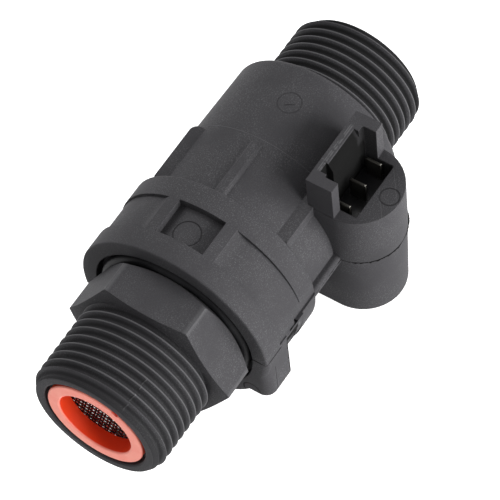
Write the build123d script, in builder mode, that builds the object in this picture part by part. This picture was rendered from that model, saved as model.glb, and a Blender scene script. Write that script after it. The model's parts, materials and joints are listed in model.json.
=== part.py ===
from build123d import *
import os

os.makedirs("parts", exist_ok=True)

# Water flow sensor. All sizes are in millimetres. X runs along the flow, with 0 at the inlet's end
# face, Z points up out of the plug shroud, and the side boss stands on the -Y side.

# Pipe threads, G3/4, kept here as plain cylinders at the crest
thread_radius = 13.22
lead_in_length = 1.8
inlet_rim_radius = 11.95
outlet_rim_radius = 11.65
rim_edge = 0.4

# Lengths along the flow, in order from the inlet
inlet_thread_length = 16.1
hex_length = 8.1
seal_gap = 2.5
mouth_depth = 2.1
front_ring_length = 4.4
pocket_length = 7.5
rear_ring_length = 4.5
ribbed_length = 13.5
plain_length = 17.3
outlet_thread_length = 14.4

# Hexagon of the inlet adapter
hex_across_flats = 28.5
hex_turn = 3.5
hex_face_radius = 14.1
hex_front_chamfer = 0.6
hex_rear_chamfer = 1.5

# Walls of the main body and the small steps between its rings
collar_wall = 2.95
collar_edge = 1.2
rear_ring_step = 0.3
rear_ring_edge = 0.5
body_wall = 5.5
plain_step = 0.15
shoulder_step = 0.45
shoulder_edge = 1.5

# Sunk pockets of the collar
top_pocket_width = 9.5
top_pocket_depth = 1.95
side_pocket_depth = 0.2
side_pocket_shift = 0.9
side_pocket_edge = 6.9
side_pocket_slope = 1.2
side_pocket_land = 0.8

# Flats on the collar's sides, and the hollows under them behind the feet
side_flat_x = 34.0
side_flat_y = 18.3
hollow_length = 3.5
hollow_depth = 1.6
hollow_edge = 1.0

# Ribs between collar and step
corner_rib_width = 27.2
corner_rib_height = 25.8
corner_rib_edge = 1.5
top_rib_width = 3.5
top_rib_height = 1.3
top_rib_radius = 17.75
top_rib_draft = 40
side_rib_thickness = 1.6
side_rib_radius = 18.45
rib_short = 0.9

# Squared feet under the collar
foot_length = 6.6
foot_reach = 19.0
foot_depth = 13.2
foot_width = 6.5
foot_front_edge = 2.2
foot_lower_edge = 2.6

# Side boss with the plug shroud
boss_x = 57.6
boss_y = -17.45
boss_radius = 8.3
boss_lower_radius = 7.9
boss_parting_step = 0.1
boss_top = 12.4
boss_bottom = -16.2
shroud_top = 20.5
shroud_wall = 2.5
shroud_return_wall = 2.1
shroud_return_depth = 2.7
shroud_bevel_width = 1.0
shroud_bevel_depth = 2.0
shroud_bevel_length = 8.3
cavity_length = 12.2
cavity_width = 6.0
cavity_inner_y = -15.0
cavity_floor = 7.0
cavity_corner = 0.4
keyway_width = 2.0
keyway_depth = 1.3
keyway_inset = 0.6
keyway_bottom = 12.0

# Board pocket, board and plug contacts
board_pocket_ledge = 0.5
board_pocket_width = 4.2
board_pocket_bottom = -7.5
board_thickness = 1.0
board_side_gap = 0.3
board_end_gap = 0.4
sensor_chip = (4.0, 1.4, 3.0)
capacitor_size = (2.0, 1.0, 1.3)
resistor_size = (2.0, 0.6, 1.3)
chip_x_offset = 3.0
chip_z = -4.0
potting_thickness = 1.4
pin_thickness = 0.5
pin_width = 3.1
pin_tail_width = 0.9
pin_outer_y = -19.1
pin_pitch = 5.0
pin_count = 3
pin_tip_z = 13.0
pin_foot_z = 2.0
pin_chamfer = 0.2
seat_gap = 0.02

# Water way and the pieces held in it
waterway_radius = 9.4
cartridge_wall = 2.1
cartridge_clearance = 0.1
outlet_bore_radius = 8.6
outlet_bore_edge = 0.6
nipple_step = 1.3
nipple_clearance = 0.1
nipple_relief = 0.5
support_length = 5.0
sleeve_length = 12.8
guide_length = 9.7
rotor_wall = 0.8
hub_nose = 4.0
arm_count = 4
arm_thickness = 1.4
arm_depth = 3.2
vane_count = 6
vane_thickness = 1.0
vane_turn = 42.0
vane_inset = 0.8
blade_sections = 5
ring_bite = 0.4

# Rotor
blade_count = 6
blade_thickness = 1.0
blade_turn = -58.0
blade_tip_gap = 0.6
rotor_hub_edge = 0.5
magnet_radius = 4.2
magnet_length = 7.0
shaft_radius = 1.0
shaft_edge = 0.2
bearing_radius = 2.2
bearing_length = 4.0
running_clearance = 0.05
washer_radius = 2.6
washer_thickness = 0.5
end_float = 0.3
blade_inset = 0.6

# Seals
adapter_seal_radius = 1.15
adapter_seal_room = 0.8
guide_seal_radius = 0.75
guide_groove_width = 2.0

# Strainer
holder_bore_radius = 7.27
holder_wall = 1.13
holder_clearance = 0.2
holder_end_x = 13.5
flange_lip = 1.3
flange_gap = 0.6
flange_thickness = 1.6
flange_recess = 0.1
seat_edge = 0.25
holder_edge = 0.35
flange_notch_width = 1.2
flange_notch_depth = 0.5
flange_notch_angle = 122.0
mesh_x = 3.4
mesh_thickness = 0.3
mesh_bite = 0.35
mesh_pitch = 1.3
mesh_opening = 0.85

# Places along the flow, worked out from the lengths
hex_x = inlet_thread_length
hex_end_x = hex_x + hex_length
seat_x = hex_end_x + seal_gap
collar_x = seat_x - mouth_depth
pocket_x = collar_x + front_ring_length
rear_ring_x = pocket_x + pocket_length
ribbed_x = rear_ring_x + rear_ring_length
step_x = ribbed_x + ribbed_length
shoulder_x = step_x + plain_length
outlet_x = shoulder_x + outlet_thread_length

rotor_inset = washer_thickness + end_float
sleeve_x = boss_x - sleeve_length / 2
sleeve_end_x = sleeve_x + sleeve_length
guide_x = sleeve_x - guide_length
cartridge_end_x = sleeve_end_x + support_length
rotor_x = sleeve_x + rotor_inset
rotor_length = sleeve_length - 2 * rotor_inset
rotor_end_x = rotor_x + rotor_length
hub_radius = magnet_radius + rotor_wall
blade_tip_radius = waterway_radius - blade_tip_gap
hub_start_x = guide_x + vane_inset
vane_length = guide_length - 2 * vane_inset

# Radii worked out from the water way outwards
cartridge_radius = waterway_radius + cartridge_wall
cartridge_bore = cartridge_radius + cartridge_clearance
nipple_radius = cartridge_bore + nipple_step
nipple_bore = nipple_radius + nipple_clearance
mouth_radius = nipple_bore + 2 * adapter_seal_radius + adapter_seal_room
collar_radius = mouth_radius + collar_wall
rear_ring_radius = collar_radius - rear_ring_step
ribbed_radius = cartridge_bore + body_wall
plain_radius = ribbed_radius - plain_step
shoulder_radius = ribbed_radius - shoulder_step
top_pocket_floor = collar_radius - top_pocket_depth
side_pocket_floor = collar_radius - side_pocket_depth
foot_end_x = collar_x + foot_length
holder_radius = holder_bore_radius + holder_wall
inlet_bore_radius = holder_radius + holder_clearance
flange_radius = holder_radius + flange_lip
seat_radius = flange_radius + flange_gap

# Sizes of the plug socket and the board, worked out from the cavity
shroud_length = cavity_length + 2 * shroud_return_wall
shroud_outer_y = cavity_inner_y + shroud_wall
shroud_width = shroud_wall + shroud_return_depth
bevel_x = boss_x - cavity_length / 2 + keyway_inset + keyway_width
board_pocket_length = cavity_length - 2 * board_pocket_ledge
board_length = board_pocket_length - 2 * board_side_gap
board_height = cavity_floor - board_pocket_bottom - 2 * board_end_gap
board_inner_y = cavity_inner_y - sensor_chip[1] - seat_gap
board_outer_y = board_inner_y - board_thickness
pin_tail_y = board_outer_y - seat_gap
pin_y = pin_outer_y + pin_width / 2
board_bottom = board_pocket_bottom + board_end_gap

upright = (Align.CENTER, Align.CENTER, Align.MIN)
across = Plane.YZ


def corner(outline, x, radius):
    """The corner of a turned outline at this place along the flow and this radius."""
    return outline.vertices().sort_by_distance((x, radius))[0]


def twisted_blade(root_radius, tip_radius, thickness, length, turn):
    """One blade that stands on a hub about Z and turns as it rises, by a stack of lofted sections."""
    with BuildPart() as blade:
        for i in range(blade_sections):
            share = i / (blade_sections - 1)
            plane = Plane.XY.offset(length * share).rotated((0, 0, turn * share))
            with BuildSketch(plane):
                with Locations(((root_radius + tip_radius) / 2, 0)):
                    Rectangle(tip_radius - root_radius, thickness)
        loft()
    return blade.part


def side_pocket():
    """Cutter for the pocket on the collar's -Y side, above the parting plane."""
    inner_y = -side_pocket_edge
    floor_y = inner_y - side_pocket_slope
    floor_z = (side_pocket_floor**2 - floor_y**2) ** 0.5 - side_pocket_shift
    rim_z = (rear_ring_radius**2 - inner_y**2) ** 0.5
    with BuildPart() as cutter:
        with BuildSketch(across.offset(pocket_x)):
            with Locations((floor_y, side_pocket_land)):
                Rectangle(collar_radius, collar_radius, align=(Align.MAX, Align.MIN))
            with BuildLine():
                Polyline(
                    (floor_y, floor_z),
                    (inner_y, rim_z),
                    (inner_y, collar_radius),
                    (floor_y, collar_radius),
                    close=True,
                )
            make_face()
            Circle(collar_radius + collar_edge, mode=Mode.INTERSECT)
            with Locations((0, -side_pocket_shift)):
                Circle(side_pocket_floor, mode=Mode.SUBTRACT)
        extrude(amount=pocket_length)
    return cutter.part


def squared_foot():
    """Foot under the collar's -Y side: upright side wall, with round front and lower edges."""
    with BuildPart() as foot:
        with Locations((collar_x, -foot_reach, 0)):
            Box(foot_length, foot_width, foot_depth, align=(Align.MIN, Align.MIN, Align.MAX))
        front = foot.edges().filter_by(Axis.Z).group_by(Axis.X)[0].sort_by(Axis.Y)[0]
        fillet(front, foot_front_edge)
        lower = foot.faces().sort_by(Axis.Z)[0].edges().filter_by(Axis.X).sort_by(Axis.Y)[0]
        fillet(lower, foot_lower_edge)
    return foot.part


def side_hollow():
    """Cutter for the hollow behind the foot, and for the flat above it on the collar's side."""
    with BuildPart() as cutter:
        with Locations((foot_end_x, -foot_reach, side_pocket_land)):
            Box(hollow_length, hollow_depth, foot_depth, align=(Align.MIN, Align.MIN, Align.MAX))
        inner = cutter.edges().filter_by(Axis.Z).group_by(Axis.X)[-1].sort_by(Axis.Y)[-1]
        fillet(inner, hollow_edge)
        with Locations((side_flat_x, -side_flat_y, side_pocket_land)):
            Box(ribbed_x - side_flat_x, collar_wall, boss_top, align=(Align.MIN, Align.MAX, Align.MIN))
    return cutter.part


def top_rib():
    """Rib on the body's top: drafted sides and a round end."""
    start_x = ribbed_x - top_rib_height
    straight_length = ribbed_length - top_rib_width / 2
    with BuildPart() as rib:
        with BuildSketch(Plane.XY.offset(top_rib_radius - top_rib_height)):
            with Locations((start_x, 0)):
                Rectangle(
                    straight_length + top_rib_height, top_rib_width, align=(Align.MIN, Align.CENTER),
                )
            with Locations((ribbed_x + straight_length, 0)):
                Circle(top_rib_width / 2)
        extrude(amount=top_rib_height, taper=top_rib_draft)
    return rib.part


def corner_ribs():
    """Ribs at the four corners of a square round the body, rounded off at their rear ends."""
    with BuildPart() as ribs:
        with BuildSketch(across.offset(ribbed_x)):
            Rectangle(corner_rib_width, corner_rib_height)
        extrude(amount=ribbed_length - rib_short)
        rear = ribs.faces().sort_by(Axis.X)[-1]
        fillet(rear.edges().filter_by(Axis.Z), corner_rib_edge)
    return ribs.part


def boss_outline(height, radius):
    """Outline of the side boss: round outside, and straight where it runs into the body."""
    with BuildSketch(Plane.XY.offset(height)) as outline:
        with Locations((boss_x, boss_y)):
            Circle(radius)
            Rectangle(2 * radius, -boss_y, align=(Align.CENTER, Align.MIN))
    return outline.sketch


# Main body: thread, shoulder, ribbed body, collar and side boss in one moulding
collar_pocket = side_pocket()
collar_pockets = [
    collar_pocket,
    mirror(collar_pocket, about=Plane.XZ),
    mirror(collar_pocket, about=Plane.XY),
    mirror(mirror(collar_pocket, about=Plane.XZ), about=Plane.XY),
]
collar_foot = squared_foot()
feet = [collar_foot, mirror(collar_foot, about=Plane.XZ)]
hollow = side_hollow()
hollows = [hollow, mirror(hollow, about=Plane.XZ)]
upper_rib = top_rib()
ribs = [corner_ribs(), upper_rib, mirror(upper_rib, about=Plane.XY)]

with BuildPart() as main_body:
    # Turned outline, from the collar's mouth to the outlet's rim
    with BuildSketch(Plane.XZ) as outline:
        with BuildLine():
            Polyline(
                (collar_x, 0),
                (collar_x, collar_radius),
                (rear_ring_x, collar_radius),
                (rear_ring_x, rear_ring_radius),
                (ribbed_x, rear_ring_radius),
                (ribbed_x, ribbed_radius),
                (step_x, ribbed_radius),
                (step_x, plain_radius),
                (shoulder_x, shoulder_radius),
                (shoulder_x, thread_radius),
                (outlet_x - lead_in_length, thread_radius),
                (outlet_x, outlet_rim_radius),
                (outlet_x, 0),
                close=True,
            )
        make_face()
        fillet(corner(outline, collar_x, collar_radius), collar_edge)
        fillet(corner(outline, ribbed_x, rear_ring_radius), rear_ring_edge)
        fillet(corner(outline, shoulder_x, shoulder_radius), shoulder_edge)
        fillet(corner(outline, outlet_x, outlet_rim_radius), rim_edge)
    revolve(axis=Axis.X)

    # Ribs that run back from the collar: at the corners, on top and below, and one on each side
    for rib in ribs:
        add(rib)
    with BuildSketch(across.offset(ribbed_x)):
        Rectangle(2 * side_rib_radius, side_rib_thickness)
    extrude(amount=ribbed_length - rib_short)

    # Side boss in two halves, the lower one drafted and a little smaller at the parting plane
    extrude(boss_outline(0, boss_radius), amount=boss_top)
    loft([
        boss_outline(boss_bottom, boss_lower_radius),
        boss_outline(0, boss_radius - boss_parting_step),
    ])

    # Plug shroud: a long wall on the body's side with two short returns
    with BuildSketch(Plane.XY):
        with Locations((boss_x, shroud_outer_y)):
            Rectangle(shroud_length, shroud_width, align=(Align.CENTER, Align.MAX))
    extrude(amount=shroud_top)

    # Pockets and hollows sunk in the collar
    for pocket in collar_pockets + hollows:
        add(pocket, mode=Mode.SUBTRACT)
    with BuildSketch(across.offset(pocket_x)):
        Rectangle(top_pocket_width, 2 * (collar_radius + top_pocket_depth))
        Circle(top_pocket_floor, mode=Mode.SUBTRACT)
    extrude(amount=pocket_length, mode=Mode.SUBTRACT)

    # Squared feet on both sides, below the parting plane
    for foot in feet:
        add(foot)

    # Water way: mouth, nipple bore, cartridge bore and outlet bore
    with BuildSketch(Plane.XZ):
        with BuildLine():
            Polyline(
                (collar_x, 0),
                (collar_x, mouth_radius),
                (seat_x, mouth_radius),
                (seat_x, nipple_bore),
                (guide_x + nipple_relief, nipple_bore),
                (guide_x + nipple_relief, cartridge_bore),
                (cartridge_end_x, cartridge_bore),
                (cartridge_end_x, outlet_bore_radius),
                (outlet_x - outlet_bore_edge, outlet_bore_radius),
                (outlet_x, outlet_bore_radius + outlet_bore_edge),
                (outlet_x, 0),
                close=True,
            )
        make_face()
    revolve(axis=Axis.X, mode=Mode.SUBTRACT)

    # Plug cavity, its keyway, the bevel of the long wall and the board pocket underneath
    with BuildSketch(Plane.XY.offset(cavity_floor)):
        with Locations((boss_x, cavity_inner_y)):
            RectangleRounded(
                cavity_length, cavity_width, cavity_corner,
                align=(Align.CENTER, Align.MAX),
            )
    extrude(amount=shroud_top - cavity_floor, mode=Mode.SUBTRACT)
    with BuildSketch(Plane.XY.offset(keyway_bottom)):
        with Locations((boss_x - cavity_length / 2 + keyway_inset, cavity_inner_y - cavity_corner)):
            Rectangle(keyway_width, keyway_depth + cavity_corner, align=(Align.MIN, Align.MIN))
    extrude(amount=shroud_top - keyway_bottom, mode=Mode.SUBTRACT)
    with BuildSketch(across.offset(bevel_x)):
        with BuildLine():
            Polyline(
                (cavity_inner_y, shroud_top),
                (cavity_inner_y + shroud_bevel_width, shroud_top),
                (cavity_inner_y, shroud_top - shroud_bevel_depth),
                close=True,
            )
        make_face()
    extrude(amount=shroud_bevel_length, mode=Mode.SUBTRACT)
    with BuildSketch(Plane.XY.offset(board_pocket_bottom)):
        with Locations((boss_x, cavity_inner_y)):
            Rectangle(board_pocket_length, board_pocket_width, align=(Align.CENTER, Align.MAX))
    extrude(amount=cavity_floor - board_pocket_bottom, mode=Mode.SUBTRACT)
main_body.part.label = "main_body"

# Inlet adapter: thread, hexagon and the nipple that screws into the collar
hex_corner_radius = hex_across_flats / 3**0.5

with BuildPart() as inlet_adapter:
    # Hexagon with its corners turned down to cones, more at the rear than at the front
    with BuildSketch(across.offset(hex_x)):
        RegularPolygon(hex_corner_radius, 6, rotation=hex_turn)
    extrude(amount=hex_length)
    with BuildSketch(Plane.XZ):
        with BuildLine():
            Polyline(
                (hex_x, 0),
                (hex_x, hex_face_radius),
                (hex_x + hex_front_chamfer, hex_corner_radius),
                (hex_end_x - hex_rear_chamfer, hex_corner_radius),
                (hex_end_x, hex_face_radius),
                (hex_end_x, 0),
                close=True,
            )
        make_face()
    revolve(axis=Axis.X, mode=Mode.INTERSECT)

    # Threaded end and nipple
    with BuildSketch(Plane.XZ) as adapter_outline:
        with BuildLine():
            Polyline(
                (0, 0),
                (0, inlet_rim_radius),
                (lead_in_length, thread_radius),
                (hex_end_x, thread_radius),
                (hex_end_x, nipple_radius),
                (guide_x, nipple_radius),
                (guide_x, 0),
                close=True,
            )
        make_face()
        fillet(corner(adapter_outline, 0, inlet_rim_radius), rim_edge)
    revolve(axis=Axis.X)

    # Bore with the seat for the strainer's flange, flared where it meets the flow guide
    flare = waterway_radius - inlet_bore_radius
    flange_seat_x = flange_recess + flange_thickness
    with BuildSketch(Plane.XZ):
        with BuildLine():
            Polyline(
                (0, 0),
                (0, seat_radius + seat_edge),
                (seat_edge, seat_radius),
                (flange_seat_x, seat_radius),
                (flange_seat_x, inlet_bore_radius),
                (guide_x - flare, inlet_bore_radius),
                (guide_x, waterway_radius),
                (guide_x, 0),
                close=True,
            )
        make_face()
    revolve(axis=Axis.X, mode=Mode.SUBTRACT)
inlet_adapter.part.label = "inlet_adapter"

# Sealing ring between the hexagon and the collar
with BuildPart() as adapter_seal:
    with BuildSketch(Plane.XZ):
        with Locations((hex_end_x + seal_gap / 2, nipple_radius + nipple_clearance + adapter_seal_radius)):
            Circle(adapter_seal_radius)
    revolve(axis=Axis.X)
adapter_seal.part.label = "adapter_seal"

# Strainer holder: red sleeve with a flat flange, and a groove that grips the mesh
with BuildPart() as strainer_holder:
    with BuildSketch(Plane.XZ) as holder_outline:
        with BuildLine():
            Polyline(
                (flange_recess, holder_bore_radius),
                (flange_recess, flange_radius),
                (flange_seat_x, flange_radius),
                (flange_seat_x, holder_radius),
                (holder_end_x, holder_radius),
                (holder_end_x, holder_bore_radius),
                close=True,
            )
        make_face()
        fillet(corner(holder_outline, flange_recess, flange_radius), holder_edge)
        fillet(corner(holder_outline, flange_recess, holder_bore_radius), holder_edge)
    revolve(axis=Axis.X)
    with BuildSketch(across.offset(mesh_x - mesh_thickness / 2 - seat_gap)):
        Circle(holder_bore_radius + mesh_bite + seat_gap)
    extrude(amount=mesh_thickness + 2 * seat_gap, mode=Mode.SUBTRACT)
    with BuildSketch(across.offset(flange_recess)):
        with PolarLocations(flange_radius, 1, start_angle=flange_notch_angle):
            Rectangle(2 * flange_notch_depth, flange_notch_width)
    extrude(amount=flange_notch_depth, mode=Mode.SUBTRACT)
strainer_holder.part.label = "strainer_holder"

# Strainer mesh: a steel disc with square openings
mesh_reach = holder_bore_radius - mesh_opening
mesh_across = 2 * int(mesh_reach / mesh_pitch) + 1
with BuildPart() as strainer_mesh:
    with BuildSketch(across.offset(mesh_x - mesh_thickness / 2)):
        Circle(holder_bore_radius + mesh_bite)
        grid = GridLocations(mesh_pitch, mesh_pitch, mesh_across, mesh_across)
        openings = [spot for spot in grid.local_locations if spot.position.length < mesh_reach]
        with Locations(openings):
            Rectangle(mesh_opening, mesh_opening, mode=Mode.SUBTRACT)
    extrude(amount=mesh_thickness)
strainer_mesh.part.label = "strainer_mesh"

# Flow guide: outer ring with a seal groove, hub with a round nose, and curved vanes
vane = twisted_blade(
    hub_radius - ring_bite, waterway_radius + ring_bite, vane_thickness, vane_length, vane_turn,
)
groove_x = guide_x + guide_length / 2
groove_floor = cartridge_bore - 2 * (guide_seal_radius + seat_gap)
with BuildPart(across.offset(hub_start_x)) as flow_guide:
    with PolarLocations(0, vane_count):
        add(vane)
    with BuildSketch(Plane.XZ):
        with BuildLine():
            Polyline(
                (guide_x, waterway_radius),
                (guide_x, cartridge_radius),
                (groove_x - guide_groove_width / 2, cartridge_radius),
                (groove_x - guide_groove_width / 2, groove_floor),
                (groove_x + guide_groove_width / 2, groove_floor),
                (groove_x + guide_groove_width / 2, cartridge_radius),
                (sleeve_x, cartridge_radius),
                (sleeve_x, waterway_radius),
                close=True,
            )
        make_face()
    revolve(axis=Axis.X)
    with BuildSketch(Plane.XZ):
        with BuildLine():
            Polyline(
                (hub_start_x - hub_nose, 0),
                (sleeve_x - bearing_length, 0),
                (sleeve_x - bearing_length, bearing_radius + seat_gap),
                (sleeve_x, bearing_radius + seat_gap),
                (sleeve_x, hub_radius),
                (hub_start_x, hub_radius),
            )
            EllipticalCenterArc((hub_start_x, 0), hub_nose, hub_radius, start_angle=90, arc_size=90)
        make_face()
    revolve(axis=Axis.X)
flow_guide.part.label = "flow_guide"

# Ring that seals the flow guide in the body
with BuildPart() as guide_seal:
    with BuildSketch(Plane.XZ):
        with Locations((groove_x, cartridge_bore - guide_seal_radius - seat_gap)):
            Circle(guide_seal_radius)
    revolve(axis=Axis.X)
guide_seal.part.label = "guide_seal"

# Spacer sleeve around the rotor
with BuildPart(across.offset(sleeve_x)) as spacer_sleeve:
    Cylinder(cartridge_radius, sleeve_length, align=upright)
    Cylinder(waterway_radius, sleeve_length, align=upright, mode=Mode.SUBTRACT)
spacer_sleeve.part.label = "spacer_sleeve"

# Rotor: hub with twisted blades, bored for the shaft and for the magnet
blade = twisted_blade(
    hub_radius - ring_bite, blade_tip_radius, blade_thickness,
    rotor_length - 2 * blade_inset, blade_turn,
)
magnet_x = rotor_end_x - magnet_length
with BuildPart(across.offset(rotor_x + blade_inset)) as rotor:
    with PolarLocations(0, blade_count):
        add(blade)
    with BuildSketch(Plane.XZ) as hub_outline:
        with BuildLine():
            Polyline(
                (rotor_x, shaft_radius + seat_gap),
                (rotor_x, hub_radius),
                (rotor_end_x, hub_radius),
                (rotor_end_x, magnet_radius + seat_gap),
                (magnet_x, magnet_radius + seat_gap),
                (magnet_x, shaft_radius + seat_gap),
                close=True,
            )
        make_face()
        chamfer(corner(hub_outline, rotor_x, hub_radius), rotor_hub_edge)
        chamfer(corner(hub_outline, rotor_end_x, hub_radius), rotor_hub_edge)
    revolve(axis=Axis.X)
rotor.part.label = "rotor"

with BuildPart(across.offset(magnet_x)) as rotor_magnet:
    Cylinder(magnet_radius, magnet_length, align=upright)
    Cylinder(shaft_radius + seat_gap, magnet_length, align=upright, mode=Mode.SUBTRACT)
rotor_magnet.part.label = "rotor_magnet"

# Shaft, its two bushes and its two thrust washers
shaft_x = sleeve_x - bearing_length + end_float
shaft_end_x = sleeve_end_x + bearing_length - end_float
with BuildPart(across.offset(shaft_x)) as rotor_shaft:
    Cylinder(shaft_radius, shaft_end_x - shaft_x, align=upright)
    chamfer(rotor_shaft.edges().filter_by(GeomType.CIRCLE), shaft_edge)
rotor_shaft.part.label = "rotor_shaft"

bearings = {"front_bearing": sleeve_x - bearing_length, "rear_bearing": sleeve_end_x}
washers = {"front_washer": rotor_x - washer_thickness, "rear_washer": rotor_end_x}
pieces_on_shaft = []
for name, start_x in bearings.items():
    with BuildPart(across.offset(start_x)) as bearing:
        Cylinder(bearing_radius, bearing_length, align=upright)
        Cylinder(shaft_radius + running_clearance, bearing_length, align=upright, mode=Mode.SUBTRACT)
    bearing.part.label = name
    pieces_on_shaft.append(bearing.part)
for name, start_x in washers.items():
    with BuildPart(across.offset(start_x)) as washer:
        Cylinder(washer_radius, washer_thickness, align=upright)
        Cylinder(shaft_radius + seat_gap, washer_thickness, align=upright, mode=Mode.SUBTRACT)
    washer.part.label = name
    pieces_on_shaft.append(washer.part)

# Rear support: ring, hub with a round tail, and straight arms
tail_start_x = sleeve_end_x + bearing_length
arm_start = hub_radius - ring_bite
arm_length = waterway_radius + ring_bite - arm_start
with BuildPart(across.offset(sleeve_end_x)) as rear_support:
    Cylinder(cartridge_radius, support_length, align=upright)
    Cylinder(waterway_radius, support_length, align=upright, mode=Mode.SUBTRACT)
    with PolarLocations(0, arm_count):
        with Locations((arm_start, 0, 0)):
            Box(
                arm_length, arm_thickness, arm_depth,
                align=(Align.MIN, Align.CENTER, Align.MIN),
            )
    with BuildSketch(Plane.XZ):
        with BuildLine():
            Polyline(
                (tail_start_x + hub_nose, 0),
                (tail_start_x, 0),
                (tail_start_x, bearing_radius + seat_gap),
                (sleeve_end_x, bearing_radius + seat_gap),
                (sleeve_end_x, hub_radius),
                (tail_start_x, hub_radius),
            )
            EllipticalCenterArc((tail_start_x, 0), hub_nose, hub_radius, start_angle=0, arc_size=90)
        make_face()
    revolve(axis=Axis.X)
rear_support.part.label = "rear_support"

# Electronics in the side boss: board, its chips, the flat contacts and the resin cap
with BuildPart() as circuit_board:
    with Locations((boss_x, board_inner_y, board_bottom)):
        Box(board_length, board_thickness, board_height, align=(Align.CENTER, Align.MAX, Align.MIN))
circuit_board.part.label = "circuit_board"

chips = {
    "hall_sensor": (sensor_chip, 0, 0),
    "capacitor": (capacitor_size, -chip_x_offset, chip_z),
    "resistor": (resistor_size, chip_x_offset, chip_z),
}
board_pieces = []
for name, (size, offset, height) in chips.items():
    with BuildPart() as chip:
        with Locations((boss_x + offset, board_inner_y, height)):
            Box(*size, align=(Align.CENTER, Align.MIN, Align.CENTER))
    chip.part.label = name
    board_pieces.append(chip.part)

pin_places = [boss_x + pin_pitch * (i - (pin_count - 1) / 2) for i in range(pin_count)]
for i, pin_x in enumerate(pin_places):
    with BuildPart() as pin:
        with Locations((pin_x, pin_y, cavity_floor)):
            Box(pin_thickness, pin_width, pin_tip_z - cavity_floor, align=upright)
        chamfer(pin.faces().sort_by(Axis.Z)[-1].edges(), pin_chamfer)
        with Locations((pin_x, pin_tail_y, pin_foot_z)):
            Box(
                pin_thickness, pin_tail_width, cavity_floor - pin_foot_z,
                align=(Align.CENTER, Align.MAX, Align.MIN),
            )
    pin.part.label = f"contact_pin_{i + 1}"
    board_pieces.append(pin.part)

with BuildPart() as potting_cap:
    with BuildSketch(Plane.XY.offset(cavity_floor)):
        with Locations((boss_x, cavity_inner_y)):
            RectangleRounded(
                cavity_length, cavity_width, cavity_corner,
                align=(Align.CENTER, Align.MAX),
            )
        with Locations([(pin_x, pin_y) for pin_x in pin_places]):
            Rectangle(pin_thickness + 2 * seat_gap, pin_width + 2 * seat_gap, mode=Mode.SUBTRACT)
    extrude(amount=potting_thickness)
potting_cap.part.label = "potting_cap"

finished = [
    main_body.part, inlet_adapter.part, adapter_seal.part, strainer_holder.part, strainer_mesh.part,
    flow_guide.part, guide_seal.part, spacer_sleeve.part, rotor.part, rotor_magnet.part,
    rotor_shaft.part, rear_support.part, circuit_board.part, potting_cap.part,
]
for piece in finished + pieces_on_shaft + board_pieces:
    export_step(piece, f"parts/{piece.label}.step")
    print(f"{piece.label}: {piece.volume:.1f} mm3")
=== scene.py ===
# %% [markdown]
# # A water flow sensor
# Water enters through the threaded end with the red strainer, spins a small rotor inside the tube and
# leaves through the other thread. The sensor in the side boss counts the turns. The imported CAD model
# gives every size and place. This lesson adds what thread rolling, moulding and weaving leave on such a
# part: real helical threads, pin marks, mould flash, woven wire and the finish of each material. Many
# small marks and some finishes also carry painted shade and painted highlights.

# %% Modules and the imported frame
import json
import math

import bpy
from mathutils import Matrix, Vector

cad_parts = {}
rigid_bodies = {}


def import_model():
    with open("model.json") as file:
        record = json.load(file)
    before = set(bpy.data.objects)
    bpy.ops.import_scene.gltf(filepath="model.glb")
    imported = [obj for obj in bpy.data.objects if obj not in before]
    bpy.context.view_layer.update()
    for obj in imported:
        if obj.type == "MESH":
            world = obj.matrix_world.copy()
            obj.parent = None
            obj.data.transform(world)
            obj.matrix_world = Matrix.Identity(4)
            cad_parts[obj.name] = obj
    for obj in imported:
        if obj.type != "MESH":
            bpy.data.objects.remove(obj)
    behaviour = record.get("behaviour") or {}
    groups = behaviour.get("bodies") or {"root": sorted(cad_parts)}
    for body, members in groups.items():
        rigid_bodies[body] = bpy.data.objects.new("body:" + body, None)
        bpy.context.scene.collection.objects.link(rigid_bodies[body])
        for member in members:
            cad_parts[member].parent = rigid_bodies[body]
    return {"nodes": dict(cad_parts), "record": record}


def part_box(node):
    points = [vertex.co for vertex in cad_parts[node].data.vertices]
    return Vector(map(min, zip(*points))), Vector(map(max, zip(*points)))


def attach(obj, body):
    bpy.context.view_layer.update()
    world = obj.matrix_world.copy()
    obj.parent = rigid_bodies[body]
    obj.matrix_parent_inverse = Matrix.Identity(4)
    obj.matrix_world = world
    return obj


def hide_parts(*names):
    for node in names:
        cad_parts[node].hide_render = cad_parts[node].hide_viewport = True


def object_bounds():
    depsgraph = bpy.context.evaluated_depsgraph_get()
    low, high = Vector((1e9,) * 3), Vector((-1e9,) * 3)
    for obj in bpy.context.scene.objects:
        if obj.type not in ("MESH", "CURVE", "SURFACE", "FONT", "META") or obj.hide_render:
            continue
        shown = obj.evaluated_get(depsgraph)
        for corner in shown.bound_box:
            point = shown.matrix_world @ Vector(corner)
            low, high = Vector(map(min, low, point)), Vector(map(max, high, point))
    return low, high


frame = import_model()
cad_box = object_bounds()
mm = 0.001
mounts = {mount["name"]: mount for mount in frame["record"]["mounts"]}
print("CAD nodes:", len(frame["nodes"]), "box:", [round(side / mm, 1) for side in cad_box[1] - cad_box[0]])

# %% [markdown]
# ## Working in edit mode
# Everything new is shaped as by hand, with Blender's own operators. An operator acts on whatever is
# selected, so each step starts from an empty selection and picks its faces by where they are.


# %% Selecting and editing
def only(piece):
    """Selects this piece alone and makes it the active one."""
    bpy.ops.object.select_all(action="DESELECT")
    piece.select_set(True)
    bpy.context.view_layer.objects.active = piece


def open_edit(piece, wanted=None):
    """Enters edit mode on a piece, with the vertices selected whose place passes the test."""
    only(piece)
    bpy.ops.object.mode_set(mode="EDIT")
    bpy.ops.mesh.select_mode(type="VERT")
    bpy.ops.mesh.select_all(action="SELECT" if wanted is None else "DESELECT")
    if wanted is not None:
        bpy.ops.object.mode_set(mode="OBJECT")
        for vertex in piece.data.vertices:
            vertex.select = wanted(vertex.co)
        bpy.ops.object.mode_set(mode="EDIT")


def close_edit():
    bpy.ops.object.mode_set(mode="OBJECT")


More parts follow.
